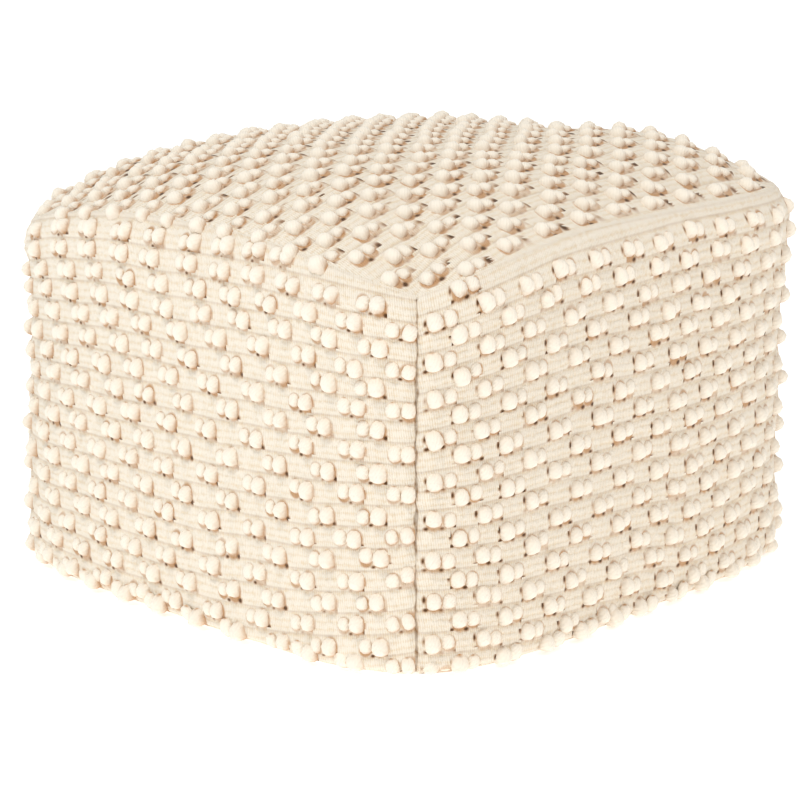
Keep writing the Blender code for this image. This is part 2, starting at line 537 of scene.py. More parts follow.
def loft_between(bm, outer, inner):
    """The strip of faces between two rings of points whose counts differ."""
    outer, inner = (sorted(ring, key=lambda v: math.atan2(v.co.y, v.co.x)) for ring in (outer, inner))
    made = []
    i = j = 0
    while i < len(outer) or j < len(inner):
        here_out, here_in = outer[i % len(outer)], inner[j % len(inner)]
        next_out, next_in = outer[(i + 1) % len(outer)], inner[(j + 1) % len(inner)]
        out_first = (here_in.co - next_out.co).length < (here_out.co - next_in.co).length
        if j == len(inner) or (i < len(outer) and out_first):
            made.append(bm.faces.new((here_out, next_out, here_in)))
            i += 1
        else:
            made.append(bm.faces.new((here_out, next_in, here_in)))
            j += 1
    return made


Knot = namedtuple("Knot", "vert along ribs up")


def side_column(bm, painted_shade, panel, along, relief):
    """One column of knots up a side. Ribs that run out at a seam share the knot that lies on it."""
    rise, pitch = rib_line(panel, along)
    ribbed = side_length() - SIDE_STRIP
    sewn = channel(min(along, WALK.length - along), CORNER_SEAM_HALF_WIDTH)
    knots = []
    for step in range((HIGHEST_RIB - LOWEST_RIB) * ROWS_PER_RIB + 1):
        up = min(ribbed, max(0.0, rise + pitch * (LOWEST_RIB + step / ROWS_PER_RIB)))
        if knots and abs(knots[-1].up - up) < SAME_HEIGHT:
            knots.append(knots[-1])
            continue
        ribs = (up - rise) / pitch
        share = rib_share(ribs)
        lift = RIB_VALLEY + (RIB_CREST - RIB_VALLEY) * share - CORNER_SEAM_DEPTH * sewn
        vert = bm.verts.new(FILLING.settled(side_spot(panel, along, up, relief * lift - START_INSET)))
        # Painted shade, deepest in the valleys between ribs and in the corner seam
        seam = sewn**CORNER_SEAM_FOCUS * (1 - (1 - CORNER_SEAM_HOLLOW) * share)
        vert[painted_shade] = max(VALLEY_HOLLOW * (1 - share), seam)
        knots.append(Knot(vert, along, ribs, up))
    for to_seam in (0.5 * SIDE_STRIP, 0.0):
        up = side_length() - to_seam
        place = side_spot(panel, along, up, -relief * TOP_SEAM_DEPTH - START_INSET)
        vert = bm.verts.new(FILLING.settled(place))
        # Painted shade along the top seam
        vert[painted_shade] = TOP_SEAM_HOLLOW
        knots.append(Knot(vert, along, (up - rise) / pitch, up))
    return knots


def side_face(bm, weave, pairs, knots, nearest):
    """One face between knots, where those that have run together count once."""
    corners = []
    for knot in knots:
        if all(knot.vert is not other.vert for other in corners):
            corners.append(knot)
    if len(corners) < 3:
        return
    face = bm.faces.new([knot.vert for knot in corners])
    offsets = [FAR_FROM_PAIRS] * len(corners)
    if nearest:
        offsets = nearest.offsets([(knot.along, knot.ribs) for knot in corners])
    for loop, knot, offset in zip(face.loops, corners, offsets):
        loop[weave].uv = (knot.along / RIB_PITCH, knot.ribs)
        loop[pairs].uv = offset


def close_corner(bm, weave, pairs, before, after):
    """The bottom of a corner seam: a strip between the last column of one side and the first of the next."""
    before = [knot for index, knot in enumerate(before) if index == 0 or knot is not before[index - 1]]
    after = [knot for index, knot in enumerate(after) if index == 0 or knot is not after[index - 1]]
    i = j = 0
    while i < len(before) - 1 or j < len(after) - 1:
        step_before = j == len(after) - 1 or (i < len(before) - 1 and before[i + 1].up < after[j + 1].up)
        if step_before:
            side_face(bm, weave, pairs, (before[i], after[j], before[i + 1]), None)
            i += 1
        else:
            side_face(bm, weave, pairs, (before[i], after[j], after[j + 1]), None)
            j += 1


def cover_side(bm, weave, pairs, painted_shade, relief):
    """The four ribbed sides, joined at the corner seams. Returns their lowest and highest rings."""
    sides = []
    for panel, nearest in zip(PANELS, SIDE_PAIRS):
        columns = [side_column(bm, painted_shade, panel, along, relief) for along in WALK.stations()]
        for line, following in zip(columns, columns[1:]):
            for row in range(len(line) - 1):
                side_face(bm, weave, pairs,
                          (line[row], following[row], following[row + 1], line[row + 1]), nearest)
        sides.append(columns)
    for columns, following in zip(sides, sides[1:] + sides[:1]):
        close_corner(bm, weave, pairs, columns[-1], following[0])
    return [[line[end].vert for columns in sides for line in columns] for end in (0, -1)]


def cover_top(bm, weave, pairs, painted_shade, relief):
    """The ribbed top as one sheet inside the smooth strip. Returns the points of its edge."""
    columns = TOP_RIBS * ROWS_PER_RIB
    grid = []
    edge = []
    for column in range(columns + 1):
        ribs = column / ROWS_PER_RIB
        run = top_half_run(ribs)
        share = rib_share(ribs)
        line = []
        for row in range(TOP_ROWS + 1):
            y = (2 * row / TOP_ROWS - 1) * run
            end = min(1.0, (run - abs(y)) / TOP_RIB_FADE)
            outer = min(1.0, min(ribs, TOP_RIBS - ribs) / EDGE_RIB_FADE)
            lift = (RIB_VALLEY + (RIB_CREST - RIB_VALLEY) * share) * end * outer
            place = top_spot(ribs, y, relief * lift - START_INSET)
            vert = bm.verts.new(FILLING.settled(place))
            # Painted shade in the valleys between the top's ribs
            vert[painted_shade] = VALLEY_HOLLOW * (1 - share) * end * outer
            line.append(vert)
            if row in (0, TOP_ROWS) or column in (0, columns):
                edge.append(vert)
        grid.append(line)
    for column in range(columns):
        for row in range(TOP_ROWS):
            near, far = grid[column], grid[column + 1]
            face = bm.faces.new((near[row], far[row], far[row + 1], near[row + 1]))
            low, high = column / ROWS_PER_RIB, (column + 1) / ROWS_PER_RIB
            runs = top_half_run(low), top_half_run(high)
            shares = (2 * row / TOP_ROWS - 1), (2 * (row + 1) / TOP_ROWS - 1)
            places = ((shares[0] * runs[0], low), (shares[0] * runs[1], high),
                      (shares[1] * runs[1], high), (shares[1] * runs[0], low))
            offsets = TOP_PAIRS.offsets(places)
            for loop, place, offset in zip(face.loops, places, offsets):
                loop[weave].uv = (place[0] / RIB_PITCH, place[1])
                loop[pairs].uv = offset
    return edge


def cover_top_strip(bm, weave, pairs, painted_shade, seam_ring, edge):
    """The smooth strip between the top seam and the ribs of the top."""
    sewn = channel(TOP_STRIP_RING, TOP_SEAM_HALF_WIDTH)
    ring = []
    for vert in seam_ring:
        angle = math.atan2(vert.co.y, vert.co.x)
        reach = (HALF_SIDE - NECK - TOP_STRIP_RING) * outline_reach(angle, SEAM_SQUARENESS)
        place = top_point(reach * math.cos(angle), reach * math.sin(angle),
                          -TOP_SEAM_DEPTH * sewn - START_INSET)
        made = bm.verts.new(FILLING.settled(place))
        # Painted shade along the top seam's channel
        made[painted_shade] = TOP_STRIP_HOLLOW * sewn
        ring.append(made)
    walked = 0.0
    high = TOP_STRIP_RING / RIB_PITCH
    for index, vert in enumerate(seam_ring):
        after = (index + 1) % len(seam_ring)
        reached = walked + (seam_ring[after].co - vert.co).length / RIB_PITCH
        face = bm.faces.new((vert, seam_ring[after], ring[after], ring[index]))
        corners = ((walked, 0.0), (reached, 0.0), (reached, high), (walked, high))
        for loop, uv in zip(face.loops, corners):
            loop[weave].uv = uv
            loop[pairs].uv = FAR_FROM_PAIRS
        walked = reached
    for face in loft_between(bm, ring, edge):
        for loop in face.loops:
            loop[weave].uv = (loop.vert.co.y / RIB_PITCH, loop.vert.co.x / RIB_PITCH)
            loop[pairs].uv = FAR_FROM_PAIRS


def cover_mesh(name, relief):
    """The whole woven cover, closed by its base. Relief 0 leaves out ribs and channels."""
    bm = bmesh.new()
    weave = bm.loops.layers.uv.new("weave")
    pairs = bm.loops.layers.uv.new("pairs")
    painted_shade = bm.verts.layers.float.new("painted_shade")
    lowest, highest = cover_side(bm, weave, pairs, painted_shade, relief)
    edge = cover_top(bm, weave, pairs, painted_shade, relief)
    cover_top_strip(bm, weave, pairs, painted_shade, highest, edge)
    for loop in bm.faces.new(lowest).loops:
        loop[pairs].uv = FAR_FROM_PAIRS
    bmesh.ops.recalc_face_normals(bm, faces=bm.faces)
    mesh = bpy.data.meshes.new(name)
    bm.to_mesh(mesh)
    bm.free()
    mesh.shade_smooth()
    return mesh


def smoothed_moves(mesh, moves):
    """The moves averaged over neighbouring points a few times."""
    edges = np.array([edge.vertices[:] for edge in mesh.edges])
    counts = np.bincount(edges.ravel(), minlength=len(moves))[:, None]
    for _ in range(SIM_SMOOTHING):
        total = np.zeros_like(moves)
        np.add.at(total, edges[:, 0], moves[edges[:, 1]])
        np.add.at(total, edges[:, 1], moves[edges[:, 0]])
        moves = 0.5 * moves + 0.5 * total / counts
    return moves


def work_out_filling():
    """Blows up a plain copy of the body with Cloth and keeps how far each of its points moved."""
    mesh = cover_mesh("plain_body", 0.0)
    body = bpy.data.objects.new("plain_body", mesh)
    bpy.context.scene.collection.objects.link(body)
    remesh = body.modifiers.new("voxels", "REMESH")
    remesh.mode = "VOXEL"
    remesh.voxel_size = SIM_VOXEL
    depsgraph = bpy.context.evaluated_depsgraph_get()
    rest_mesh = bpy.data.meshes.new_from_object(body.evaluated_get(depsgraph), depsgraph=depsgraph)
    body.modifiers.remove(remesh)
    body.data = rest_mesh
    rest = np.array([vert.co[:] for vert in rest_mesh.vertices])
    standing = body.vertex_groups.new(name="standing")
    standing.add([int(i) for i in np.nonzero(rest[:, 2] < SIM_FOOT)[0]], 1.0, "REPLACE")
    cloth = body.modifiers.new("filling", "CLOTH")
    cloth.settings.use_pressure = True
    cloth.settings.uniform_pressure_force = SIM_PRESSURE
    cloth.settings.effector_weights.gravity = 0.0
    cloth.settings.vertex_group_mass = "standing"
    for number in range(1, SIM_FRAMES + 1):
        bpy.context.scene.frame_set(number)
    depsgraph = bpy.context.evaluated_depsgraph_get()
    blown = body.evaluated_get(depsgraph).to_mesh()
    moves = np.array([vert.co[:] for vert in blown.vertices]) - rest
    body.evaluated_get(depsgraph).to_mesh_clear()
    lengths = np.linalg.norm(moves, axis=1, keepdims=True)
    moves *= SIM_REACH / max(float(np.percentile(lengths, SIM_MOST_MOVES)), SIM_REACH)
    lengths = np.linalg.norm(moves, axis=1, keepdims=True)
    moves *= np.minimum(1.0, SIM_REACH / np.maximum(lengths, 1e-9))
    moves = smoothed_moves(rest_mesh, moves)
    FILLING.tree = kdtree.KDTree(len(rest))
    for index, place in enumerate(rest):
        FILLING.tree.insert(place, index)
    FILLING.tree.balance()
    FILLING.moves = [Vector(move) for move in moves]
    bpy.data.objects.remove(body)
    bpy.context.scene.frame_set(1)


def linear(hex_colour):
    """An sRGB hex colour as linear red, green, blue and alpha."""
    channels = []
    for start in (0, 2, 4):
        value = int(hex_colour[start:start + 2], 16) / 255
        channels.append(value / 12.92 if value <= 0.04045 else ((value + 0.055) / 1.055) ** 2.4)
    return (*channels, 1.0)


def add_node(tree, kind, inputs=None, **settings):
    """Adds one node. Each of its inputs is a value or another node's output."""
    node = tree.nodes.new(kind)
    for name, value in settings.items():
        setattr(node, name, value)
    for key, value in (inputs or {}).items():
        if isinstance(value, bpy.types.NodeSocket):
            tree.links.new(value, node.inputs[key])
        else:
            node.inputs[key].default_value = value
    return node


def new_material(name):
    """A material, and the tree that its nodes go into."""
    material = bpy.data.materials.new(name)
    material.use_nodes = True
    return material, material.node_tree


def matt_fibre(material, roughness, colour, bump):
    """The dry finish of cotton fibre with a little fuzz, under a colour and a bump."""
    shader = material.node_tree.nodes["Principled BSDF"]
    shader.inputs["Roughness"].default_value = roughness
    shader.inputs["Metallic"].default_value = 0.0
    shader.inputs["Specular IOR Level"].default_value = 0.2
    shader.inputs["Sheen Weight"].default_value = 0.15
    shader.inputs["Sheen Roughness"].default_value = 0.6
    material.node_tree.links.new(colour.outputs[2], shader.inputs["Base Color"])
    material.node_tree.links.new(bump.outputs[0], shader.inputs["Normal"])
    return material


def round_ridges(tree, across, count):
    """The height of round yarns lying side by side, so many for each unit across them."""
    turn = add_node(tree, "ShaderNodeMath", {0: across, 1: count * math.pi}, operation="MULTIPLY")
    wave = add_node(tree, "ShaderNodeMath", {0: turn.outputs[0]}, operation="SINE")
    return add_node(tree, "ShaderNodeMath", {0: wave.outputs[0]}, operation="ABSOLUTE").outputs[0]


def gap_mask(tree, sets, inner, outer):
    """Where shade is painted beside each pair: 0 on the cloth and 1 in the given gaps, fading between two
    shares of their size.
    """
    pairs = add_node(tree, "ShaderNodeUVMap", uv_map="pairs")
    mask = 0.0
    for gap, shift in [(gap, shift) for gaps, shift in sets for gap in gaps]:
        centre = (gap.along / PAIR_UNIT + shift, gap.up / PAIR_UNIT, 0.0)
        size = (gap.half_width / PAIR_UNIT, gap.half_height / PAIR_UNIT, 1.0)
        away = add_node(tree, "ShaderNodeVectorMath", {0: pairs.outputs["UV"], 1: centre},
                        operation="SUBTRACT")
        scaled = add_node(tree, "ShaderNodeVectorMath", {0: away.outputs[0], 1: size},
                          operation="DIVIDE")
        reach = add_node(tree, "ShaderNodeVectorMath", {0: scaled.outputs[0]}, operation="LENGTH")
        inside = add_node(tree, "ShaderNodeMapRange",
                          {"Value": reach.outputs["Value"], "From Min": inner, "From Max": outer,
                           "To Min": 1.0, "To Max": 0.0})
        mask = add_node(tree, "ShaderNodeMath", {0: inside.outputs[0], 1: mask},
                        operation="MAXIMUM").outputs[0]
    return mask


def woven_cotton_material():
    """Undyed cotton, hand woven in ribs: three soft weft yarns a rib, crossed by fine warp, all matt."""
    material, tree = new_material("hand_woven_undyed_cotton")
    weave = add_node(tree, "ShaderNodeUVMap", uv_map="weave")
    split = add_node(tree, "ShaderNodeSeparateXYZ", {0: weave.outputs["UV"]})
    place = add_node(tree, "ShaderNodeTexCoord")
    # Hand-laid yarns stray from their line over about 11 mm, and a noise's scale is one over its size
    uneven = add_node(tree, "ShaderNodeTexNoise",
                      {"Vector": place.outputs["Object"], "Scale": 90.0, "Detail": 2.0})
    sway = add_node(tree, "ShaderNodeMath", {0: uneven.outputs["Fac"], 1: 0.14, 2: split.outputs["Y"]},
                    operation="MULTIPLY_ADD")
    # Three weft yarns of 5.4 mm lie side by side in each rib of 16.1 mm
    yarn = round_ridges(tree, sway.outputs[0], YARNS_PER_RIB)
    # Warp yarns stand 1.8 mm apart, which is nine to a rib's height
    lean = add_node(tree, "ShaderNodeMath", {0: split.outputs["Y"], 1: 0.12, 2: split.outputs["X"]},
                    operation="MULTIPLY_ADD")
    warp = round_ridges(tree, lean.outputs[0], WARPS_PER_RIB)
    # Fibres that stand up from the yarns are drawn 1.1 mm wide, coarser than real ones, so that they show
    fibre = add_node(tree, "ShaderNodeTexNoise",
                     {"Vector": place.outputs["Object"], "Scale": 900.0, "Detail": 3.0})
    # Hand-spun yarn is knobbly, with slubs of about 4 mm
    slubs = add_node(tree, "ShaderNodeTexNoise",
                     {"Vector": place.outputs["Object"], "Scale": 260.0, "Detail": 2.0})
    relief = add_node(tree, "ShaderNodeMath", {0: yarn, 1: 0.55}, operation="MULTIPLY")
    for part, share in ((warp, 0.55), (fibre.outputs["Fac"], 0.6), (slubs.outputs["Fac"], 1.6)):
        relief = add_node(tree, "ShaderNodeMath", {0: part, 1: share, 2: relief.outputs[0]},
                          operation="MULTIPLY_ADD")
    bump = add_node(tree, "ShaderNodeBump",
                    {"Height": relief.outputs[0], "Distance": 0.0011, "Strength": 0.65})
    # Undyed cotton is cream. Shade is painted into it: yellower between its yarns, and tan in the hollows
    # between ribs and in the seams
    painted_shade = add_node(tree, "ShaderNodeAttribute", attribute_name="painted_shade")
    # Painted shade between the yarns: yellower where the relief is low
    between = add_node(tree, "ShaderNodeMapRange",
                       {"Value": relief.outputs[0], "From Min": 1.15, "From Max": 1.95,
                        "To Min": 0.60, "To Max": 0.0})
    crease = add_node(tree, "ShaderNodeMix",
                      {0: between.outputs[0], 6: linear("F4ECDD"), 7: linear("E2CAA1")}, data_type="RGBA")
    # Painted shade, tan, in the valleys between ribs and in the seams
    deep = add_node(tree, "ShaderNodeMapRange",
                    {"Value": painted_shade.outputs["Fac"], "From Min": 0.36, "From Max": 0.95})
    valley_shaded = add_node(tree, "ShaderNodeMix",
                    {0: deep.outputs[0], 6: crease.outputs[2], 7: linear("A87B46")}, data_type="RGBA")
    # The weave opens more in some patches of about 22 mm than in others, and there the painted shade of the
    # gaps and rims is stronger
    patchy = add_node(tree, "ShaderNodeTexNoise",
                      {"Vector": place.outputs["Object"], "Scale": 45.0, "Detail": 1.0})
    openness = add_node(tree, "ShaderNodeMapRange",
                        {"Value": patchy.outputs["Fac"], "From Min": 0.38, "From Max": 0.60,
                         "To Min": 0.45})
    # Painted shade: tan rims on the cloth under the lower edge of each loop
    rim = add_node(tree, "ShaderNodeMath",
                   {0: gap_mask(tree, RIMS, *RIM_FADE), 1: openness.outputs[0]}, operation="MULTIPLY")
    rim = add_node(tree, "ShaderNodeMath", {0: rim.outputs[0], 1: 0.78}, operation="MULTIPLY")
    rim_shaded = add_node(tree, "ShaderNodeMix",
                      {0: rim.outputs[0], 6: valley_shaded.outputs[2], 7: linear("BA8140")}, data_type="RGBA")
    # Painted shade in the gaps beside each pair: tan at their edges and dark brown in their middle
    gap = add_node(tree, "ShaderNodeMath",
                   {0: gap_mask(tree, OPENINGS, *OPENING_FADE), 1: openness.outputs[0]},
                   operation="MULTIPLY").outputs[0]
    edge = add_node(tree, "ShaderNodeMapRange", {"Value": gap, "From Max": 0.6, "To Max": 0.75})
    tan = add_node(tree, "ShaderNodeMix",
                   {0: edge.outputs[0], 6: rim_shaded.outputs[2], 7: linear("A8743C")}, data_type="RGBA")
    core = add_node(tree, "ShaderNodeMapRange", {"Value": gap, "From Min": 0.4, "From Max": 0.85})
    colour = add_node(tree, "ShaderNodeMix",
                      {0: core.outputs[0], 6: tan.outputs[2], 7: linear("553719")}, data_type="RGBA")
    return matt_fibre(material, 0.92, colour, bump)


def loop_yarn_material():
    """Thick undyed cotton yarn, softly twisted: near white and matt, with shade painted in tan low down,
    where it goes into the cloth.
    """
    material, tree = new_material("soft_twisted_cotton_yarn")
    weave = add_node(tree, "ShaderNodeUVMap", uv_map="weave")
    split = add_node(tree, "ShaderNodeSeparateXYZ", {0: weave.outputs["UV"]})
    # Eight plies of about 4 mm turn slowly round the yarn
    slant = add_node(tree, "ShaderNodeMath", {0: split.outputs["Y"], 1: 0.25, 2: split.outputs["X"]},
                     operation="MULTIPLY_ADD")
    ply = round_ridges(tree, slant.outputs[0], LOOP_PLIES)
    place = add_node(tree, "ShaderNodeTexCoord")
    # Its fibres are drawn 1.4 mm wide, coarser than real ones, so that they show
    fibre = add_node(tree, "ShaderNodeTexNoise",
                     {"Vector": place.outputs["Object"], "Scale": 700.0, "Detail": 3.0})
    relief = add_node(tree, "ShaderNodeMath", {0: fibre.outputs["Fac"], 1: 0.8, 2: ply},
                      operation="MULTIPLY_ADD")
    bump = add_node(tree, "ShaderNodeBump",
                    {"Height": relief.outputs[0], "Distance": 0.0006, "Strength": 0.5})
    # Painted shade: tan low on each loop, most at its lower right, where it goes into the cloth
    foot = add_node(tree, "ShaderNodeAttribute", attribute_name="painted_shade")
    colour = add_node(tree, "ShaderNodeMix",
                      {0: foot.outputs["Fac"], 6: linear("F8F1E3"), 7: linear("BB8446")}, data_type="RGBA")
    return matt_fibre(material, 0.9, colour, bump)


def base_canvas_material():
    """Plain cotton canvas: a fine, even, matt weave in a flat cream."""
    material, tree = new_material("plain_cotton_canvas")
    place = add_node(tree, "ShaderNodeTexCoord")
    # Canvas yarns 2.4 mm apart in both directions, coarser than real ones, so that they show
    across = add_node(tree, "ShaderNodeTexWave", {"Vector": place.outputs["Object"], "Scale": 130.0},
                      bands_direction="X")
    along = add_node(tree, "ShaderNodeTexWave", {"Vector": place.outputs["Object"], "Scale": 130.0},
                     bands_direction="Y")
    weave = add_node(tree, "ShaderNodeMath", {0: across.outputs["Fac"], 1: along.outputs["Fac"]},
                     operation="ADD")
    bump = add_node(tree, "ShaderNodeBump",
                    {"Height": weave.outputs[0], "Distance": 0.0003, "Strength": 0.5})
    colour = add_node(tree, "ShaderNodeMix",
                      {0: weave.outputs[0], 6: linear("CDBB9B"), 7: linear("DDCDB0")}, data_type="RGBA")
    return matt_fibre(material, 0.95, colour, bump)


def loop_form(number):
    """One yarn loop arching over its rib, from foot to foot along Y, with X along the rib."""
    chance = random.Random(LOOP_SEED + number)
    sag = chance.uniform(0.02, 0.10)
    lean = chance.uniform(-0.06, 0.06)
    bm = bmesh.new()
    weave = bm.loops.layers.uv.new("weave")
    painted_shade = bm.verts.layers.float.new("painted_shade")
    half_height = LOOP_HEIGHT / 2
    thickness = LOOP_TIP - LOOP_SINK

    def ring_vert(t, theta):
        radius = (1 - abs(t) ** LOOP_BLUNTNESS) ** (1 / LOOP_BLUNTNESS) * (1 - sag * t)
        square = outline_reach(theta, LOOP_SQUARENESS)
        arch = LOOP_SINK - LOOP_FOOT_DROP * t * t
        x = radius * square * math.cos(theta) * LOOP_WIDTH / 2 + lean * half_height * (1 - t * t)
        z = arch + radius * square * math.sin(theta) * thickness
        vert = bm.verts.new((x, t * half_height, z))
        # Painted shade: tan low on the loop, most at its lower right
        below = min(1.0, max(0.0, (TAN_HEIGHT - z) / TAN_FADE))
        lower_right = TAN_DOWN * -t + TAN_RIGHT * radius * math.cos(theta) - TAN_START
        vert[painted_shade] = below * min(1.0, max(LEAST_TAN, lower_right / TAN_RUN))
        return vert

    lines = []
    for t in LOOP_RINGS:
        line = []
        for step in range(LOOP_SIDES):
            theta = 2 * math.pi * step / LOOP_SIDES + math.pi / 2
            line.append(ring_vert(t, theta + 0.25 * math.sin(2 * theta)))
        lines.append(line)
    low = bm.verts.new((0.0, -half_height, LOOP_SINK - LOOP_FOOT_DROP))
    high = bm.verts.new((0.0, half_height, LOOP_SINK - LOOP_FOOT_DROP))
    # Painted shade: the feet are fully tan
    low[painted_shade] = high[painted_shade] = 1.0
    for ring in range(len(LOOP_RINGS) - 1):
        for step in range(LOOP_SIDES):
            after = (step + 1) % LOOP_SIDES
            face = bm.faces.new((lines[ring][step], lines[ring + 1][step],
                                 lines[ring + 1][after], lines[ring][after]))
            ends = ((step, ring), (step, ring + 1), (step + 1, ring + 1), (step + 1, ring))
            for loop, (s, r) in zip(face.loops, ends):
                loop[weave].uv = (s / LOOP_SIDES, LOOP_RINGS[r])
    for pole, line, flip in ((low, lines[0], False), (high, lines[-1], True)):
        for step in range(LOOP_SIDES):
            after = (step + 1) % LOOP_SIDES
            corners = (pole, line[step], line[after])
            face = bm.faces.new(corners[::-1] if flip else corners)
            for loop in face.loops:
                index = line.index(loop.vert) if loop.vert in line else step
                loop[weave].uv = (index / LOOP_SIDES, 1.0 if flip else -1.0)
    bmesh.ops.recalc_face_normals(bm, faces=bm.faces)
    mesh = bpy.data.meshes.new(f"loop_form_{number}")
    bm.to_mesh(mesh)
    bm.free()
    mesh.shade_smooth()
    return bpy.data.objects.new(f"loop_form_{number}", mesh)


# What each loop's point carries: the ways out of the cloth and along its rib, and its size
SPOT_ATTRIBUTES = ("face_out", "rib_way", "size")


def loop_tree():
    """Sets a yarn loop on each point, facing out of the cloth, each with its own size and turn."""
    tree = bpy.data.node_groups.new("yarn_loops", "GeometryNodeTree")
    for name, kind in (("Geometry", "Geometry"), ("Loop forms", "Collection"), ("Smallest scale", "Vector"),
                       ("Largest scale", "Vector"), ("Greatest turn", "Vector"), ("Seed", "Int"),
                       ("Material", "Material")):
        tree.interface.new_socket(name, in_out="INPUT", socket_type="NodeSocket" + kind)
    tree.interface.new_socket("Geometry", in_out="OUTPUT", socket_type="NodeSocketGeometry")
    given = add_node(tree, "NodeGroupInput").outputs
    forms = add_node(tree, "GeometryNodeCollectionInfo",
                     {"Collection": given["Loop forms"], "Separate Children": True, "Reset Children": True})
    out, way, size = (add_node(tree, "GeometryNodeInputNamedAttribute", {"Name": key},
                               data_type="FLOAT_VECTOR").outputs["Attribute"] for key in SPOT_ATTRIBUTES)
    facing = add_node(tree, "FunctionNodeAxesToRotation", {"Primary Axis": out, "Secondary Axis": way},
                      primary_axis="Z", secondary_axis="X")
    least_turn = add_node(tree, "ShaderNodeVectorMath", {0: given["Greatest turn"], "Scale": -1.0},
                          operation="SCALE")
    turn = add_node(tree, "FunctionNodeRandomValue",
                    {0: least_turn.outputs[0], 1: given["Greatest turn"], "Seed": given["Seed"]},
                    data_type="FLOAT_VECTOR")
    turn = add_node(tree, "FunctionNodeEulerToRotation", {0: turn.outputs[0]})
    turned = add_node(tree, "FunctionNodeRotateRotation",
                      {0: facing.outputs[0], 1: turn.outputs[0]}, rotation_space="LOCAL")
    scale = add_node(tree, "FunctionNodeRandomValue",
                     {0: given["Smallest scale"], 1: given["Largest scale"], "Seed": given["Seed"]},
                     data_type="FLOAT_VECTOR")
    scale = add_node(tree, "ShaderNodeVectorMath", {0: scale.outputs[0], 1: size}, operation="MULTIPLY")
    pick = add_node(tree, "FunctionNodeRandomValue",
                    {4: 0, 5: LOOP_FORMS - 1, "Seed": given["Seed"]}, data_type="INT")
    placed = add_node(tree, "GeometryNodeInstanceOnPoints",
                      {"Points": given["Geometry"], "Instance": forms.outputs[0], "Pick Instance": True,
                       "Instance Index": pick.outputs[2], "Rotation": turned.outputs[0],
                       "Scale": scale.outputs[0]})
    real = add_node(tree, "GeometryNodeRealizeInstances", {"Geometry": placed.outputs[0]})
    finished = add_node(tree, "GeometryNodeSetMaterial",
                        {"Geometry": real.outputs[0], "Material": given["Material"]})
    add_node(tree, "NodeGroupOutput", {0: finished.outputs[0]})
    return tree


LoopSpot = namedtuple("LoopSpot", "place out way size")


def spot_from(point_at, along, ribs, size):
    """A loop's place, and the directions out of the cloth and along its rib there."""
    place = point_at(along, ribs)
    way = (point_at(along + SPOT_STEP, ribs) - point_at(along - SPOT_STEP, ribs)).normalized()
    up = (point_at(along, ribs + SPOT_RIB_STEP) - point_at(along, ribs - SPOT_RIB_STEP)).normalized()
    out = way.cross(up).normalized()
    return LoopSpot(place, out, way, size)


def side_loop_spots():
    """Every loop of the sides, two to a pair, each a little out of line."""
    chance = random.Random(LOOP_SEED + 2)
    spots = []
    for panel, pairs in zip(PANELS, SIDE_PAIRS):

        def point_at(along, ribs, panel=panel):
            up = min(side_length(), max(0.0, rib_distance(panel, along, ribs)))
            return FILLING.settled(side_spot(panel, along, up, -START_INSET))

        for middle, level in pairs.centres:
            for side in (-0.5, 0.5):
                along = middle + side * LOOP_SPACING * chance.uniform(*SPACING_RANGE)
                along = min(WALK.length - LEAST_FROM_CORNER, max(LEAST_FROM_CORNER, along))
                cornered = min(along, WALK.length - along) < CORNER_LOOP_REACH
                ribs = level + chance.gauss(0.0, LOOP_SCATTER)
                form = NEAR_LOOP_SIZE if (side > 0) == panel.from_end else FAR_LOOP_SIZE
                size = (CORNER_LOOP_SIZE if cornered else 1.0) * chance.uniform(*SIDE_SIZE_RANGE)
                spots.append(spot_from(point_at, along, ribs, size * form))
    return [lifted_off_floor(spot) for spot in spots]


def lifted_off_floor(spot):
    """A loop of the lowest ribs is lifted clear of the floor, and squeezed outwards or round a corner."""
    reach = LOOP_TIP * max(0.0, -spot.out.z) + 0.5 * LOOP_HEIGHT * math.hypot(spot.out.x, spot.out.y)
    short = reach + FLOOR_CLEARANCE - spot.place.z
    if short <= 0:
        return spot
    out = Vector((spot.out.x, spot.out.y, FOOT_LEAN * spot.out.z)).normalized()
    push = 1 - FOOT_CORNER_PULL * corner_nearness(math.atan2(spot.place.y, spot.place.x))
    place = spot.place + FOOT_PUSH * push * Vector((out.x, out.y, 0.0)).normalized()
    place.z += min(short, MOST_LIFT)
    width, height, depth = FOOT_LOOP_SIZE
    return LoopSpot(place, out, spot.way, Vector((width, height, depth * spot.size.z)))


def top_loop_spots():
    """Every loop of the top, with its lower foot to the right of the photograph."""
    chance = random.Random(LOOP_SEED + 3)
    spots = []

    def point_at(along, ribs):
        return FILLING.settled(top_spot(TOP_RIBS - ribs, along, -START_INSET))

    for middle, level in TOP_PAIRS.centres:
        for side in (-0.5, 0.5):
            along = middle + side * LOOP_SPACING * chance.uniform(*SPACING_RANGE)
            ribs = TOP_RIBS - level + chance.gauss(0.0, LOOP_SCATTER)
            if along > top_half_run(level) - TOP_LOOP_FROM_EDGE:
                continue
            form = FAR_LOOP_SIZE if side > 0 else NEAR_LOOP_SIZE
            spots.append(spot_from(point_at, along, ribs, chance.uniform(*TOP_SIZE_RANGE) * form))
    return spots


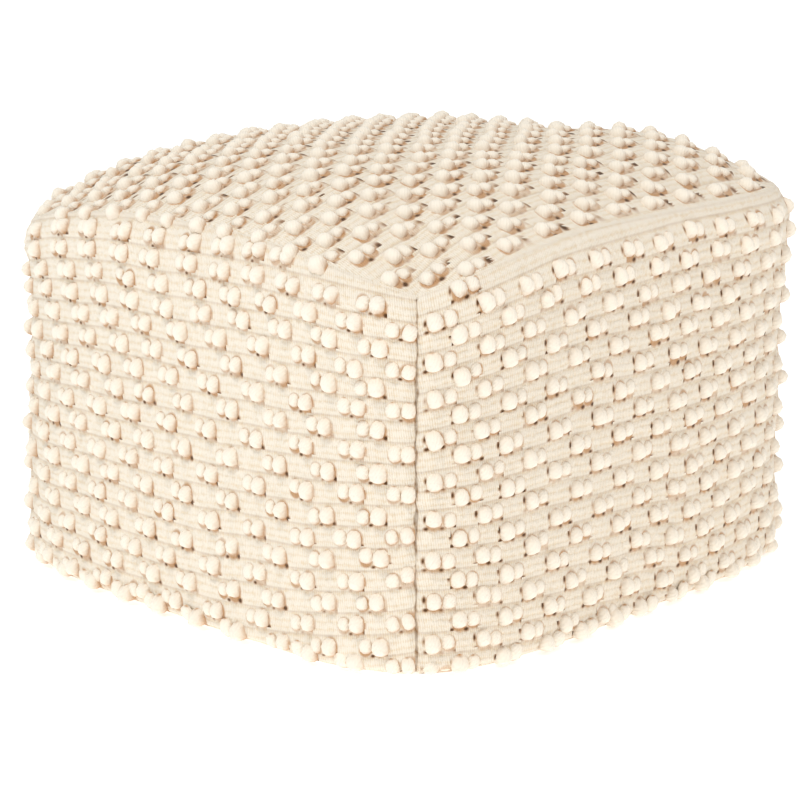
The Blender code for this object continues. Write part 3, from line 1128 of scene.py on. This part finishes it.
def loops_piece(name, spots, forms, tree, material):
    """The loops at these spots as one plain mesh."""
    mesh = bpy.data.meshes.new(name)
    mesh.from_pydata([spot.place for spot in spots], [], [])
    for key, values in zip(SPOT_ATTRIBUTES, zip(*[(spot.out, spot.way, spot.size) for spot in spots])):
        attribute = mesh.attributes.new(key, "FLOAT_VECTOR", "POINT")
        attribute.data.foreach_set("vector", [number for value in values for number in value])
    piece = bpy.data.objects.new(name, mesh)
    bpy.context.scene.collection.objects.link(piece)
    modifier = piece.modifiers.new("loops", "NODES")
    modifier.node_group = tree
    settings = {
        "Loop forms": forms,
        "Smallest scale": (0.92, 0.92, 0.88),
        "Largest scale": (1.06, 1.07, 1.10),
        "Greatest turn": (math.radians(8), math.radians(8), math.radians(12)),
        "Seed": LOOP_SEED,
        "Material": material,
    }
    for item in tree.interface.items_tree:
        if item.in_out == "INPUT" and item.name in settings:
            modifier[item.identifier] = settings[item.name]
    depsgraph = bpy.context.evaluated_depsgraph_get()
    piece.data = bpy.data.meshes.new_from_object(piece.evaluated_get(depsgraph), depsgraph=depsgraph)
    piece.modifiers.remove(modifier)
    for key in SPOT_ATTRIBUTES:
        if key in piece.data.attributes:
            piece.data.attributes.remove(piece.data.attributes[key])
    return piece


def finish_piece(piece):
    """The piece belongs to the pouf's one body."""
    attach(piece, "root")


def make_cover(material):
    cover = bpy.data.objects.new("woven_cover", cover_mesh("woven_cover", 1.0))
    cover.data.materials.append(material)
    bpy.context.scene.collection.objects.link(cover)
    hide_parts("pouf_body")
    finish_piece(cover)


def make_loops(material):
    forms = bpy.data.collections.new("loop_forms")
    for number in range(LOOP_FORMS):
        forms.objects.link(loop_form(number))
    tree = loop_tree()
    finish_piece(loops_piece("side_loops", side_loop_spots(), forms, tree, material))
    finish_piece(loops_piece("top_loops", top_loop_spots(), forms, tree, material))
    for form in list(forms.objects):
        bpy.data.objects.remove(form)
    bpy.data.collections.remove(forms)


def dress_base(material):
    """The base panel keeps its own shape and gets its canvas."""
    panel = frame["nodes"]["base_panel"]
    panel.data.materials.clear()
    panel.data.materials.append(material)


def make_floor():
    """A pale floor that runs out of the picture, so bright that it meets the backdrop."""
    mesh = bpy.data.meshes.new("floor")
    size = 12.0
    mesh.from_pydata([(-size, -size, 0), (size, -size, 0), (size, size, 0), (-size, size, 0)], [],
                     [(0, 1, 2, 3)])
    floor = bpy.data.objects.new("floor", mesh)
    bpy.context.scene.collection.objects.link(floor)
    material = bpy.data.materials.new("pale_floor")
    material.use_nodes = True
    shader = material.node_tree.nodes["Principled BSDF"]
    shader.inputs["Base Color"].default_value = linear("FAFAFA")
    shader.inputs["Roughness"].default_value = 1.0
    shader.inputs["Specular IOR Level"].default_value = 0.0
    shader.inputs["Emission Color"].default_value = linear("FFFFFF")
    shader.inputs["Emission Strength"].default_value = 0.55
    mesh.materials.append(material)


def face_pouf(name, data, azimuth_deg, elevation_deg, distance):
    """A light or camera that faces the pouf, placed by its angles round it."""
    azimuth, elevation = math.radians(azimuth_deg), math.radians(elevation_deg)
    away = Vector((math.sin(azimuth) * math.cos(elevation), -math.cos(azimuth) * math.cos(elevation),
                   math.sin(elevation)))
    placed = bpy.data.objects.new(name, data)
    placed.location = VIEW_TARGET + distance * away
    placed.rotation_euler = away.to_track_quat("Z", "Y").to_euler()
    bpy.context.scene.collection.objects.link(placed)
    return placed


def add_area_light(name, azimuth_deg, elevation_deg, distance, size, watts, colour):
    """A soft square light."""
    data = bpy.data.lights.new(name, "AREA")
    data.shape = "SQUARE"
    data.size = size
    data.energy = watts
    data.color = linear(colour)[:3]
    face_pouf(name, data, azimuth_deg, elevation_deg, distance)


def light_the_set():
    world = bpy.data.worlds.new("studio")
    world.use_nodes = True
    tree = world.node_tree
    background = tree.nodes["Background"]
    background.inputs["Color"].default_value = linear("FFFFFF")
    # The backdrop is seen white, but lights the pouf less than that
    seen = add_node(tree, "ShaderNodeLightPath")
    strength = add_node(tree, "ShaderNodeMapRange",
                        {"Value": seen.outputs["Is Camera Ray"], "To Min": 0.62, "To Max": 1.05})
    tree.links.new(strength.outputs[0], background.inputs["Strength"])
    bpy.context.scene.world = world
    add_area_light("key", 12.0, 60, 2.6, 0.8, 23.5, "FFFDFA")
    add_area_light("fill", 84.0, 30, 3.2, 1.6, 8.0, "FFD9B2")


def place_camera():
    """The camera stands where the photograph was taken from, with the same framing."""
    data = bpy.data.cameras.new("camera")
    data.lens = LENS_MM
    data.sensor_width = SENSOR_MM
    data.shift_x, data.shift_y = FRAME_SHIFT
    data.clip_end = 50.0
    camera = face_pouf("camera", data, VIEW_AZIMUTH_DEG, VIEW_ELEVATION_DEG, VIEW_DISTANCE)
    bpy.context.scene.camera = camera
    bpy.context.scene.view_settings.view_transform = "Standard"


def main():
    work_out_filling()
    make_cover(woven_cotton_material())
    make_loops(loop_yarn_material())
    dress_base(base_canvas_material())
    make_floor()
    light_the_set()
    place_camera()


main()
